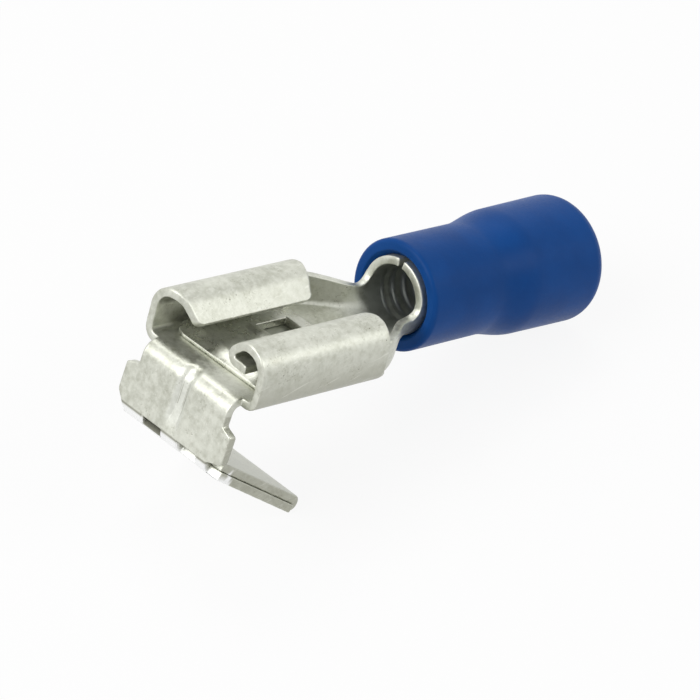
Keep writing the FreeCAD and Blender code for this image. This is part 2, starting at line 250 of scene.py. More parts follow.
class Wire:
    # one output socket; sums, products and the like add their Math nodes
    def __init__(self, graph, socket):
        self.graph = graph
        self.socket = socket

    def maths(self, operation, *others):
        return self.graph.node("ShaderNodeMath", {"operation": operation}, [self, *others])

    def __add__(self, other):
        return self.maths("ADD", other)

    __radd__ = __add__

    def __mul__(self, other):
        return self.maths("MULTIPLY", other)

    __rmul__ = __mul__

    def __sub__(self, other):
        return self.maths("SUBTRACT", other)

    def __rsub__(self, other):
        return self.graph.node("ShaderNodeMath", {"operation": "SUBTRACT"}, [other, self])

    def clamped(self):
        return self.graph.node("ShaderNodeClamp", {}, {"Value": self})


class Graph:
    # the node tree of one material
    def __init__(self, name):
        self.material = bpy.data.materials.new(name)
        self.material.use_nodes = True
        self.tree = self.material.node_tree
        self.tree.nodes.clear()

    def node(self, kind, settings=None, inputs=None, output=0):
        made = self.tree.nodes.new(kind)
        for key, value in (settings or {}).items():
            setattr(made, key, value)
        pairs = inputs.items() if isinstance(inputs, dict) else enumerate(inputs or [])
        for key, value in pairs:
            if isinstance(value, Wire):
                self.tree.links.new(value.socket, made.inputs[key])
            else:
                made.inputs[key].default_value = value
        return Wire(self, made.outputs[output]) if made.outputs else None

    def place(self, scale=1.0, stretch=(1.0, 1.0, 1.0)):
        # object coordinates in millimetres times the scale
        spot = self.node("ShaderNodeTexCoord", output="Object")
        size = [1000.0 * scale * part for part in stretch]
        return self.node("ShaderNodeMapping", {}, {"Vector": spot, "Scale": size})

    def noise(self, place, scale, detail=3.0, rough=0.55):
        return self.node("ShaderNodeTexNoise", {},
                         {"Vector": place, "Scale": scale, "Detail": detail, "Roughness": rough})

    def band(self, value, low, high):
        # 0 below low, 1 above high, smooth between
        return self.node("ShaderNodeMapRange", {"interpolation_type": "SMOOTHSTEP"},
                         {"Value": value, "From Min": low, "From Max": high})

    def mix(self, share, first, second):
        return self.node("ShaderNodeMix", {"data_type": "RGBA"}, {0: share, 6: first, 7: second}, output=2)

    def attribute(self, name):
        return self.node("ShaderNodeAttribute", {"attribute_name": name}, output="Fac")

    def finish(self, shader):
        self.node("ShaderNodeOutputMaterial", {}, {"Surface": shader})
        return self.material


# The terminal's own sizes, level, in millimetres.
stamping = {"receptLength": 7.8, "halfWidth": 3.7, "footRadius": 0.65, "rollRadius": 1.2, "rollTop": 2.85,
            "rollLean": 45.0, "farLeg": 0.95, "nearLeg": 0.32, "nearHook": 0.5, "nearReturn": 0.75,
            "farSetback": 0.65, "nearSetback": 0.2, "rearSetback": 0.58, "tipLine": 0.6, "tipRound": 0.3,
            "endSway": 0.02, "slitTurn": 77.0, "slitGap": 0.14, "neckHalf": 2.8, "sideRun": 1.15,
            "rowPitch": 0.13, "columnPitch": 0.11, "plateStart": 0.05, "spreadFrom": 1.9,
            "topBend": 0.75, "plateLean": 6.0, "plateDrop": 3.9, "lowBend": 0.62, "webHalf": 0.56,
            "windowWidth": 1.18, "windowShift": 0.1, "windowRise": 0.6, "windowFront": -0.15, "farShare": 0.5,
            "ribHalf": 0.46, "ribDepth": 0.17, "ribStart": -0.35, "ribLength": 3.0, "ribFade": 1.7,
            "tabWidth": 6.35, "tabLength": 6.5, "tabSlope": 29.0, "tabCorner": 0.22, "foldGap": 0.02,
            "upperBack": -0.1, "upperNarrow": 0.09, "tabSway": 0.03, "tabSwayPitch": 0.9,
            "farEdge": [(1.0, 2.8), (-0.85, 2.8), (-0.98, 3.5), (-2.4, 3.5), (-3.12, 2.87), (-3.45, 3.175)],
            "nearEdge": [(1.0, 2.8), (-0.95, 2.8), (-1.1, 3.4), (-2.5, 3.4), (-2.75, 2.5), (-3.2, 2.5),
                         (-3.45, 3.175)],
            "neckX": [7.8, 7.94, 8.836, 9.65, 10.575, 11.4, 11.5],
            "neckWide": [3.45, 3.45, 3.25, 2.8, 2.25, 1.85, 1.85],
            "neckRound": [0.0, 0.0, 0.12, 0.3, 0.65, 1.0, 1.0],
            "neckWall": (1.95, 1.42), "filletLength": 0.8, "filletRise": 0.8,
            "barrelFront": 11.5, "barrelLength": 5.2, "barrelRadius": 1.85, "axisZ": 1.75, "seamHalf": 0.13,
            "grooveCount": 5, "groovePitch": 0.72, "grooveWidth": 0.3, "grooveDepth": 0.06, "grooveStart": 0.85}


def receptacleMoves(far):
    # floor, foot, wall, roll and tip of one side, along the middle of the sheet
    half = sheetValues["thickness"] / 2
    moves = [("line", stamping["halfWidth"] - stamping["footRadius"], 0),
             ("turn", stamping["footRadius"] - half, 90.0),
             ("line", stamping["rollTop"] - stamping["rollRadius"] - stamping["footRadius"], 0),
             ("turn", stamping["rollRadius"] - half, 90.0 + stamping["rollLean"])]
    if far:
        return moves + [("line", stamping["farLeg"], 0)]
    return moves + [("line", stamping["nearLeg"], 0),
                    ("turn", stamping["nearHook"] - half, 180.0 - stamping["rollLean"]),
                    ("line", stamping["nearReturn"], 0)]


def sectionPoint(v):
    # y and z of the receptacle's section at distance v from its middle, far side positive
    middle = sheetValues["thickness"] / 2
    farY, farZ, _ = walked(receptacleMoves(True), (0.0, middle), 0.0, np.abs(v))
    nearY, nearZ, _ = walked(receptacleMoves(False), (0.0, middle), 0.0, np.abs(v))
    return np.where(v >= 0, farY, -nearY), np.where(v >= 0, farZ, nearZ)


def floorColumns():
    # places across the floor that also carry the plate, with the window edges among them
    shift, web, wide = stamping["windowShift"], stamping["webHalf"], stamping["windowWidth"]
    stops = [-stamping["neckHalf"], -web - shift - wide, -web - shift, web - shift, web - shift + wide,
             stamping["neckHalf"]]
    counts = [8, 10, 24, 10, 10]
    parts = [np.linspace(low, high, count, endpoint=False)
             for low, high, count in zip(stops[:-1], stops[1:], counts)]
    return np.concatenate(parts + [[stops[-1]]])


def slitReach():
    # distance from the middle of the floor to the top of the sheet that the neck shares with it
    half = sheetValues["thickness"] / 2
    floor = stamping["halfWidth"] - stamping["footRadius"]
    return floor + (stamping["footRadius"] - half) * math.radians(stamping["slitTurn"])


def receptacleGrid():
    # x runs between a front and a rear edge that set back with the roll's depth;
    # y and z follow the bent section, so the surface is the section carried along x
    shared = floorColumns()
    slit = slitReach()
    extra = np.linspace(stamping["neckHalf"], slit, 7)[1:]
    farEnd, nearEnd = pathLength(receptacleMoves(True)), pathLength(receptacleMoves(False))
    farRun = np.linspace(slit, farEnd, int((farEnd - slit) / stamping["columnPitch"]))[1:]
    nearRun = np.linspace(slit, nearEnd, int((nearEnd - slit) / stamping["columnPitch"]))[1:]
    v = np.concatenate([-nearRun[::-1], -extra[::-1], shared, extra, farRun])
    y, z = sectionPoint(v)
    outer = stamping["halfWidth"] - stamping["rollRadius"]
    lifted = z > stamping["footRadius"] + 0.2
    depth = np.where(lifted, np.clip((outer - np.abs(y)) / (outer - stamping["tipLine"]), 0.0, 1.0), 0.0)
    # the far roll's free corners are rounded, and both cut ends sway a little
    corner = cornerInset(stamping["tipRound"], farEnd - v)
    frontSway = np.where(lifted, waver(v, 11, stamping["endSway"], 2.3), 0.0)
    rearSway = np.where(lifted, waver(v, 12, stamping["endSway"], 1.9), 0.0)
    front = corner + depth * np.where(v > 0, stamping["farSetback"], stamping["nearSetback"]) + frontSway
    rear = stamping["receptLength"] - corner - depth * stamping["rearSetback"] + rearSway
    rows = int(stamping["receptLength"] / stamping["rowPitch"])
    t = np.linspace(0.0, 1.0, rows)[:, None]
    x = front[None, :] + (rear - front)[None, :] * t
    points = np.stack([x, np.broadcast_to(y, x.shape), np.broadcast_to(z, x.shape)], axis=-1)
    sharedAt = np.searchsorted(v, -stamping["neckHalf"] - 1e-6)
    slitAt = np.searchsorted(v, -slit - 1e-6)
    return points, (sharedAt, len(shared)), (slitAt, len(shared) + 2 * len(extra))


def wallHeight(x, blend):
    # straight fall along the blend, then a quarter ellipse up to the barrel's front edge
    run = stamping["filletLength"]
    climb = np.clip((x - stamping["barrelFront"] + run) / run, 0.0, 1.0)
    lift = stamping["filletRise"] * (1.0 - np.sqrt(1.0 - climb ** 2))
    return stamping["neckWall"][0] + (stamping["neckWall"][1] - stamping["neckWall"][0]) * blend + lift


def neckSection(x, share):
    # flat-floored trough at the receptacle blended to a round trough at the barrel
    half = sheetValues["thickness"] / 2
    wide = curveThrough(x, stamping["neckX"], stamping["neckWide"])
    blend = curveThrough(x, stamping["neckX"], stamping["neckRound"])
    wall = wallHeight(x, blend)
    corner = stamping["footRadius"] - half
    run = wide - half
    flat = run - corner
    rise = np.maximum(wall - stamping["footRadius"], 0.01)
    arc = corner * math.pi / 2
    total = flat + arc + rise
    walk = np.abs(share) * total
    sign = np.sign(share)
    turn = np.clip((walk - flat) / corner, 0.0, math.pi / 2)
    climb = np.clip(walk - flat - arc, 0.0, None)
    flatY = np.minimum(walk, flat) + corner * np.sin(turn)
    flatZ = half + corner * (1 - np.cos(turn)) + climb
    radius = stamping["barrelRadius"] - half
    reach = np.arccos(np.clip((stamping["axisZ"] - wall) / stamping["barrelRadius"], -1.0, 1.0))
    angle = reach * np.abs(share)
    roundY, roundZ = radius * np.sin(angle), stamping["axisZ"] - radius * np.cos(angle)
    return sign * (flatY * (1 - blend) + roundY * blend), flatZ * (1 - blend) + roundZ * blend


def neckAndBarrelGrid(slitRow):
    # first row is the receptacle's rear edge up to the slit; then trough sections
    # along x, and from the barrel's front a circle that closes to the butt seam
    half = sheetValues["thickness"] / 2
    start = stamping["receptLength"] + stamping["slitGap"]
    filletStart = stamping["barrelFront"] - stamping["filletLength"]
    quarter = np.sin(np.linspace(0.0, math.pi / 2, 15))
    x = np.concatenate([np.linspace(start, filletStart, 24), filletStart + stamping["filletLength"] * quarter[1:]])
    count = len(slitRow)
    wallCount = 12
    floorShare = slitReach() / (slitReach() + stamping["sideRun"])
    inner = np.linspace(-floorShare, floorShare, count)
    outer = np.linspace(floorShare, 1.0, wallCount + 1)[1:]
    share = np.concatenate([-outer[::-1], inner, outer])
    y, z = neckSection(x[:, None], share[None, :])
    body = np.stack([np.broadcast_to(x[:, None], y.shape), y, z], axis=-1)
    blank = np.zeros((1, len(share), 3))
    blank[0, wallCount:wallCount + count] = slitRow
    blank[0, :wallCount] = body[0, :wallCount]
    blank[0, wallCount + count:] = body[0, wallCount + count:]
    neck = np.concatenate([blank, body])
    neckKeep = np.ones((len(neck) - 1, len(share) - 1), bool)
    neckKeep[0, :wallCount] = False
    neckKeep[0, wallCount + count - 1:] = False
    # the barrel: the last section carried on up both sides to the seam, and along x
    radius = stamping["barrelRadius"] - half
    top = stamping["neckWall"][1] + stamping["filletRise"]
    reach = math.acos((stamping["axisZ"] - top) / stamping["barrelRadius"])
    last = math.pi - math.asin(stamping["seamHalf"] / radius)
    more = np.linspace(reach, last, 15)[1:]
    angle = np.concatenate([-more[::-1], share * reach, more])
    rows = int(stamping["barrelLength"] / 0.1)
    along = stamping["barrelFront"] + np.linspace(0.0, stamping["barrelLength"], rows + 1)
    tube = np.stack(np.broadcast_arrays(along[:, None], radius * np.sin(angle)[None, :],
                                        stamping["axisZ"] - radius * np.cos(angle)[None, :]), axis=-1)
    return neck, neckKeep, tube


def plateMoves():
    # side view of the plate: top bend, drop, low bend, tab's lower layer, fold, upper layer
    half = sheetValues["thickness"] / 2
    drop = stamping["plateDrop"] - stamping["topBend"] - stamping["lowBend"]
    fold = (sheetValues["thickness"] + stamping["foldGap"]) / 2
    straight = stamping["tabLength"] - sheetValues["thickness"]
    return [("line", stamping["plateStart"], 0),
            ("turn", stamping["topBend"] - half, 90.0 - stamping["plateLean"]),
            ("line", drop, 0),
            ("turn", stamping["lowBend"] - half, 90.0 - stamping["tabSlope"] + stamping["plateLean"]),
            ("line", straight, 0),
            ("turn", fold, 180.0),
            ("line", straight - stamping["upperBack"], 0)]


def plateGrid(frontRow):
    # rows follow the bent side view, columns spread from the floor's width to the outline
    moves = plateMoves()
    half = sheetValues["thickness"] / 2
    start = (stamping["plateStart"], half)
    lengths = [pathLength(moves[:count]) for count in range(len(moves) + 1)]
    probe = np.linspace(lengths[2], lengths[4], 2000)
    probeX, probeZ, _ = walked(moves, start, 180.0, probe)
    lowCentre = probeZ.min() + (stamping["lowBend"] - half)
    bottom = lowCentre - stamping["lowBend"]
    windowed = probe[(probeX < stamping["windowFront"]) & (probeZ < bottom + stamping["windowRise"])]
    openAt, shutAt = windowed[0], windowed[-1]
    tabStart, tabEnd, foldEnd, end = lengths[4], lengths[5], lengths[6], lengths[7]
    along = spread([stamping["plateStart"], openAt, shutAt, tabStart + 0.4, tabEnd - 0.6, tabEnd, foldEnd,
                    foldEnd + 0.6, end], [46, 9, 8, 36, 10, 9, 10, 40])
    x, z, heading = walked(moves, start, 180.0, along)
    ahead = along < tabStart
    fine = np.linspace(0.0, tabStart, 900)
    fineZ = walked(moves, start, 180.0, fine)[1]
    tabHalf = stamping["tabWidth"] / 2
    edges = []
    for key, seed in (("farEdge", 21), ("nearEdge", 22)):
        knots = stamping[key][::-1]
        wide = softened(np.interp(fineZ, [k[0] for k in knots], [k[1] for k in knots]), 13)
        edge = np.where(ahead, np.interp(along, fine, wide), tabHalf)
        tip = np.minimum(np.abs(along - tabEnd), np.abs(along - foldEnd))
        tip = np.where((along > tabEnd) & (along < foldEnd), 0.0, tip)
        edge = edge - np.where(along > tabStart, cornerInset(stamping["tabCorner"], tip), 0.0)
        rough = waver(along, seed, stamping["tabSway"], stamping["tabSwayPitch"])
        rough = rough * smoothStep(tabStart, tabStart + 0.5, along)
        step = stamping["upperNarrow"] * smoothStep(foldEnd, foldEnd + 0.15, along)
        edges.append(edge + rough - step)
    columns = floorColumns()
    neckHalf, inner = stamping["neckHalf"], stamping["spreadFrom"]
    ramp = np.clip((np.abs(columns) - inner) / (neckHalf - inner), 0.0, 1.0) ** 1.5
    edge = np.where(columns[None, :] > 0, edges[0][:, None], edges[1][:, None])
    y = columns[None, :] + np.sign(columns)[None, :] * (edge - neckHalf) * ramp[None, :]
    points = np.stack([np.broadcast_to(x[:, None], y.shape), y, np.broadcast_to(z[:, None], y.shape)], axis=-1)
    points = ribPressed(points, heading, along, lengths[2])
    points[0] = frontRow
    keep = np.ones((len(along) - 1, len(columns) - 1), bool)
    middleS = (along[1:] + along[:-1]) / 2
    middleY = (columns[1:] + columns[:-1]) / 2
    shift, web, wide = stamping["windowShift"], stamping["webHalf"], stamping["windowWidth"]
    # the far window is cut through the first share of the bend only, so its cut wall shows
    farShut = openAt + stamping["farShare"] * (shutAt - openAt)
    farOpen = (middleY > web - shift) & (middleY < web - shift + wide)
    nearOpen = (middleY < -web - shift) & (middleY > -web - shift - wide)
    keep[np.ix_((middleS > openAt) & (middleS < farShut), farOpen)] = False
    keep[np.ix_((middleS > openAt) & (middleS < shutAt), nearOpen)] = False
    return points, keep


def ribPressed(points, heading, along, start):
    # the sheet steps back by depth times a flat-bottomed bell across, rounded at its upper end
    width, depth = stamping["ribHalf"], stamping["ribDepth"]
    run = along - start - stamping["ribStart"]
    above = np.clip(-run, 0.0, None)[:, None]
    away = np.sqrt(points[..., 1] ** 2 + above ** 2)
    fade = 1.0 - smoothStep(stamping["ribLength"] - stamping["ribFade"], stamping["ribLength"], run)[:, None]
    push = depth * (1.0 - smoothStep(width * 0.45, width * 1.2, away)) * fade
    moved = points.copy()
    moved[..., 0] += push * -np.sin(heading)[:, None]
    moved[..., 2] += push * np.cos(heading)[:, None]
    return moved


def groovesCut(points):
    # inside the barrel the wall is set back by a bell at each serration
    wide = stamping["grooveWidth"]
    radial = points[:, 1:] - np.array([0.0, stamping["axisZ"]])
    radius = np.linalg.norm(radial, axis=1)
    bore = stamping["barrelRadius"] - sheetValues["thickness"]
    depth = np.zeros(len(points))
    for order in range(stamping["grooveCount"]):
        middle = stamping["barrelFront"] + stamping["grooveStart"] + order * stamping["groovePitch"] + wide / 2
        off = np.abs(points[:, 0] - middle)
        depth = np.maximum(depth, 1.0 - smoothStep(wide * 0.3, wide * 0.75, off))
    inside = (np.abs(radius - bore) < 0.06) & (points[:, 0] > stamping["barrelFront"] + 0.3)
    push = np.where(inside, depth * stamping["grooveDepth"] / np.maximum(radius, 0.1), 0.0)
    moved = points.copy()
    moved[:, 1:] += radial * push[:, None]
    return moved


plateValues = {"thickness": 0.4, "front": 1.05, "rear": 7.3, "half": 3.05, "corner": 0.7, "smallCorner": 0.25,
               "lipX": 4.35, "lipRadius": 0.28, "lipHalf": 1.7, "windowLength": 1.9, "windowHalf": 1.5,
               "lift": 0.012, "frontThin": 0.45}


def setAttribute(mesh, name, values):
    layer = mesh.attributes.new(name, "FLOAT", "POINT")
    layer.data.foreach_set("value", values)


def markZones(mesh):
    # inside: painted shade on faces turned to the barrel's axis, and on the floor under the plate's window
    # lowWallShade: painted shade low on the walls; burnishAndHighlight: the pressed rib's burnish with a painted
    # highlight; cutAndShade: sheared side faces of plate and tab, darker with painted shade
    # polishAndReflection: the low bend's skin with a painted reflection; creaseShade: painted shade on the line
    # above it; sillShade: painted shade on the far window's cut wall
    points, normals = meshPoints(mesh), meshNormals(mesh)
    x, y, z = points[:, 0], points[:, 1], points[:, 2]
    toAxis = np.stack([-y, stamping["axisZ"] + 0.2 - z], axis=1)
    toAxis = toAxis / np.maximum(np.linalg.norm(toAxis, axis=1), 0.01)[:, None]
    facing = (normals[:, 1:] * toAxis).sum(axis=1)
    # painted shade on faces turned to the barrel's axis, rising from the neck into the barrel
    barrelShade = smoothStep(0.1, 0.7, facing) * smoothStep(9.6, 12.2, x)
    v = plateValues
    windowFront = v["lipX"] + v["lipRadius"]
    # painted shade on the floor seen through the plate's window
    shadeUnderWindow = ((x > windowFront - 0.1) & (x < windowFront + v["windowLength"] + 0.1)
                   & (np.abs(y) < v["windowHalf"] + 0.1) & (np.abs(z - sheetValues["thickness"]) < 0.05)
                   & (normals[:, 2] > 0.5))
    setAttribute(mesh, "inside", np.maximum(barrelShade, 0.7 * shadeUnderWindow))
    # painted shade: the outer side walls darker towards the bottom
    wall = (x > 0.0) & (x < stamping["receptLength"]) & (np.abs(y) > stamping["halfWidth"] - 0.35)
    outward = smoothStep(0.3, 0.8, normals[:, 1] * np.sign(y))
    setAttribute(mesh, "lowWallShade", wall * outward * (1.0 - smoothStep(0.4, 1.9, z)))
    half = sheetValues["thickness"] / 2
    # the low bend's centre, one bend radius beside the plate's lower end
    moves = plateMoves()
    bendAt = np.array([pathLength(moves[:3])])
    bendX, bendZ, bendTurn = (value[0] for value in walked(moves, (stamping["plateStart"], half), 180.0, bendAt))
    radius = stamping["lowBend"] - half
    centre = (bendX - math.sin(bendTurn) * radius, bendZ + math.cos(bendTurn) * radius)
    offX, offZ = x - centre[0], z - centre[1]
    skin = smoothStep(stamping["lowBend"] - 0.12, stamping["lowBend"] - 0.03, np.hypot(offX, offZ))
    low = centre[1] - stamping["lowBend"]
    nearBend = (x < centre[0] + 0.5) & (z < low + 1.2)
    rise = z - low
    # painted shade: a dark line along the plate just above the low bend
    line = np.exp(-((rise - 0.66) / 0.04) ** 2)
    setAttribute(mesh, "creaseShade", np.where((x < centre[0]) & (z < low + 1.2), line, 0.0))
    ahead = 1.0 - smoothStep(0.1, 0.4, x) * smoothStep(-0.6, -0.3, z)
    sheared = smoothStep(0.55, 0.85, np.abs(normals[:, 1])) * ahead * (z < -0.4)
    shift, web, span = stamping["windowShift"], stamping["webHalf"], stamping["windowWidth"]
    farWindow = (y > web - shift - 0.03) & (y < web - shift + span + 0.03)
    # a cut wall faces along the sheet: |normal x direction from the bend's centre| is near 1 there
    across = np.abs(normals[:, 0] * offZ - normals[:, 2] * offX) / np.maximum(np.hypot(offX, offZ), 0.01)
    # painted shade on the far window's cut wall
    sillShade = farWindow * smoothStep(0.3, 0.6, across) * (x < centre[0]) * (rise < 0.58) * (rise > 0.08)
    setAttribute(mesh, "sillShade", sillShade)
    # sheared side faces of plate and tab: a darker bare cut, with painted shade
    setAttribute(mesh, "cutAndShade", sheared)
    # the low bend's skin: polish brightened near white as a painted reflection
    setAttribute(mesh, "polishAndReflection", nearBend * skin * (1.0 - smoothStep(0.56, 0.62, rise)) * (1.0 - sillShade))
    # the pressed rib's face turned to the front: burnish from the press, lightened further as a painted highlight
    wide = stamping["ribHalf"]
    setAttribute(mesh, "burnishAndHighlight", (1.0 - smoothStep(wide * 0.8, wide * 1.1, np.abs(y))) * (x < -0.1) * (z < 0.2)
                 * smoothStep(low + 0.9, low + 1.5, z) * smoothStep(0.2, 0.6, -normals[:, 0]))


def buildStamping():
    # one sheet: receptacle, neck with barrel, and plate with tab share their joint rows
    recept, (sharedAt, sharedCount), (slitAt, slitCount) = receptacleGrid()
    neck, neckKeep, tube = neckAndBarrelGrid(recept[-1, slitAt:slitAt + slitCount])
    plate, plateKeep = plateGrid(recept[0, sharedAt:sharedAt + sharedCount])
    faces, places, first = [], [], 0
    for grid, keep in ((recept, None), (neck, neckKeep), (tube, None), (plate, plateKeep)):
        rows, columns = grid.shape[:2]
        quads = gridFaces(rows, columns, first, keep)
        faces.append(quads[:, ::-1] if grid is plate else quads)
        places.append(grid.reshape(-1, 3))
        first += rows * columns
    piece = newMesh("terminalSheet", *usedOnly(np.concatenate(places), np.concatenate(faces)))
    merged(piece, sheetValues["weld"])
    thickened(piece, sheetValues["thickness"])
    setPoints(piece.data, groovesCut(meshPoints(piece.data)))
    edgesRounded(piece, sheetValues["edgeRound"], sheetValues["edgeSteps"])
    markZones(piece.data)
    setPoints(piece.data, laidDown(meshPoints(piece.data)))
    smoothShaded(piece.data)
    return piece


terminalSheet = buildStamping()
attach(terminalSheet, "root")
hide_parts("terminal_stamping")
print("terminal sheet", len(terminalSheet.data.polygons), "faces")


def buildFloorPlate():
    # flat grid whose width shrinks at the corners; a bell-shaped ridge rises across it
    v = plateValues
    windowFront = v["lipX"] + v["lipRadius"]
    windowRear = windowFront + v["windowLength"]
    x = spread([v["front"], windowFront, windowRear, v["rear"]], [30, 14, 8])
    columns = spread([-v["half"], -v["windowHalf"], v["windowHalf"], v["half"]], [12, 24, 12])

    def halfWidth(corner):
        return v["half"] - cornerInset(corner, x - v["front"]) - cornerInset(v["smallCorner"], v["rear"] - x)

    far, near = halfWidth(v["corner"]), halfWidth(v["smallCorner"])
    share = np.clip((np.abs(columns) - v["windowHalf"]) / (v["half"] - v["windowHalf"]), 0.0, 1.0)
    edge = np.where(columns[None, :] > 0, far[:, None], near[:, None]) - v["half"]
    y = columns[None, :] + np.sign(columns)[None, :] * edge * share[None, :]
    ends = 1.0 - smoothStep(v["lipHalf"] - 0.25, v["lipHalf"] + 0.05, np.abs(y))
    ridge = np.sqrt(np.clip(v["lipRadius"] ** 2 - (x[:, None] - v["lipX"]) ** 2, 0.0, None)) * 0.8 * ends
    bottom = sheetValues["thickness"]
    top = bottom + v["thickness"] + np.maximum(ridge - 0.05, 0.0)
    under = np.full_like(y, bottom + v["lift"])
    rows, count = y.shape
    windowRow = ((x[1:] + x[:-1]) / 2 > windowFront) & ((x[1:] + x[:-1]) / 2 < windowRear)
    windowColumn = np.abs((columns[1:] + columns[:-1]) / 2) < v["windowHalf"]
    keep = np.ones((rows - 1, count - 1), bool)
    keep[np.ix_(windowRow, windowColumn)] = False
    middle = np.stack([np.broadcast_to(x[:, None], y.shape), y, (top + under) / 2], axis=-1).reshape(-1, 3)
    piece = newMesh("floorPlate", *usedOnly(middle, gridFaces(rows, count, 0, keep)))
    thickened(piece, v["thickness"])
    edgesRounded(piece, sheetValues["edgeRound"], sheetValues["edgeSteps"])
    points = meshPoints(piece.data)
    points[:, 2] = np.maximum(points[:, 2], bottom + 0.002)
    # the front edge is struck thin: height above the floor times frontThin, rising to 1
    thin = v["frontThin"] + (1.0 - v["frontThin"]) * smoothStep(v["front"] - 0.05, v["front"] + 0.9, points[:, 0])
    points[:, 2] = bottom + (points[:, 2] - bottom) * thin
    piece.data.update()
    # painted shade on the cut walls of the floor plate's window
    inHole = ((points[:, 0] > windowFront - 0.05) & (points[:, 0] < windowRear + 0.05)
              & (np.abs(points[:, 1]) < v["windowHalf"] + 0.05))
    setAttribute(piece.data, "cutAndShade", inHole * (1.0 - smoothStep(0.5, 0.9, meshNormals(piece.data)[:, 2])))
    setPoints(piece.data, laidDown(points))
    smoothShaded(piece.data)
    return piece


floorPlate = buildFloorPlate()
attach(floorPlate, "root")
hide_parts("floor_plate")
print("floor plate", len(floorPlate.data.polygons), "faces")

sleeveValues = {"front": 11.6, "length": 11.25, "frontRadius": 2.62, "mouthRadius": 2.08, "mouthDepth": 0.3,
                "rimRound": 0.22, "shoulderStart": 16.1, "shoulderEnd": 18.4, "flareRadius": 3.025,
                "shoulderFlat": 0.05, "entryRadius": 2.2, "rearFlat": 0.04, "bore": 1.87, "boreEnd": 16.85,
                "funnel": 1.6, "axisZ": 1.75, "turns": 192}


def arcPoints(centre, radius, first, last, count):
    # points at even angles from first to last round a centre in the x and radius plane
    angle = np.radians(np.linspace(first, last, count))
    return np.stack([centre[0] + radius * np.cos(angle), centre[1] + radius * np.sin(angle)], axis=1)


def sleeveProfile():
    # x and radius: mouth, rim, front tube, S-shaped shoulder, flare, rear round, entry, funnel, bore
    v = sleeveValues
    end = v["front"] + v["length"]
    rim = arcPoints((v["front"] + v["rimRound"], v["frontRadius"] - v["rimRound"]), v["rimRound"], 180, 90, 8)
    x = np.linspace(v["shoulderStart"], v["shoulderEnd"], 26)
    crest = v["flareRadius"] - v["shoulderFlat"]
    rise = crest - v["frontRadius"]
    shoulder = np.stack([x, v["frontRadius"] + rise * smoothStep(v["shoulderStart"], v["shoulderEnd"], x)], axis=1)
    rear = v["flareRadius"] - v["entryRadius"] - v["rearFlat"]
    back = arcPoints((end - rear, v["flareRadius"] - rear), rear, 90, 0, 22)
    funnelEnd = v["boreEnd"] + v["funnel"]
    straight = np.stack([np.linspace(v["front"] + v["rimRound"], v["shoulderStart"], 40)[1:-1],
                         np.full(38, v["frontRadius"])], axis=1)
    flare = np.stack([np.linspace(v["shoulderEnd"], end - rear, 30)[1:-1],
                      np.linspace(crest, v["flareRadius"], 30)[1:-1]], axis=1)
    lip = arcPoints((end - 0.03, v["entryRadius"] + 0.03), 0.03, 0, -90, 5)
    inside = np.array([[funnelEnd, v["entryRadius"]], [v["boreEnd"], v["bore"]],
                       [v["front"] + v["mouthDepth"], v["bore"]]])
    mouth = arcPoints((v["front"] + 0.1, v["mouthRadius"] + 0.07), 0.1, 225, 180, 5)
    return np.concatenate([rim, straight, shoulder, flare, back, lip, inside, mouth])


def buildSleeve():
    # the profile turned about the barrel's axis: y = r sin a, z = axis + r cos a
    v = sleeveValues
    profile = sleeveProfile()
    angle = np.linspace(0.0, 2 * math.pi, v["turns"], endpoint=False)
    # a moulded tube is never quite round: a few hundredths of a millimetre of slow sway
    sway = 1.0 - 0.004 * (1 + np.cos(2 * angle + 0.6)) - 0.002 * (1 + np.cos(3 * angle))
    outside = smoothStep(2.25, 2.5, profile[:, 1])[:, None]
    radius = profile[:, 1][:, None] * (1.0 + (sway[None, :] - 1.0) * outside)
    x = np.broadcast_to(profile[:, 0][:, None], radius.shape)
    points = np.stack([x, radius * np.sin(angle)[None, :], v["axisZ"] + radius * np.cos(angle)[None, :]], axis=-1)
    rows, count = radius.shape
    corner = np.arange(rows)[:, None] * count
    following = (np.arange(rows)[:, None] + 1) % rows * count
    column = np.arange(count)[None, :]
    beside = (column + 1) % count
    quads = np.stack([corner + column, following + column, following + beside, corner + beside], axis=-1)
    piece = newMesh("sleeve", laidDown(points.reshape(-1, 3)), quads.reshape(-1, 4))
    smoothShaded(piece.data)
    return piece


sleeve = buildSleeve()
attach(sleeve, "root")
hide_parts("insulating_sleeve")
print("sleeve", len(sleeve.data.polygons), "faces")


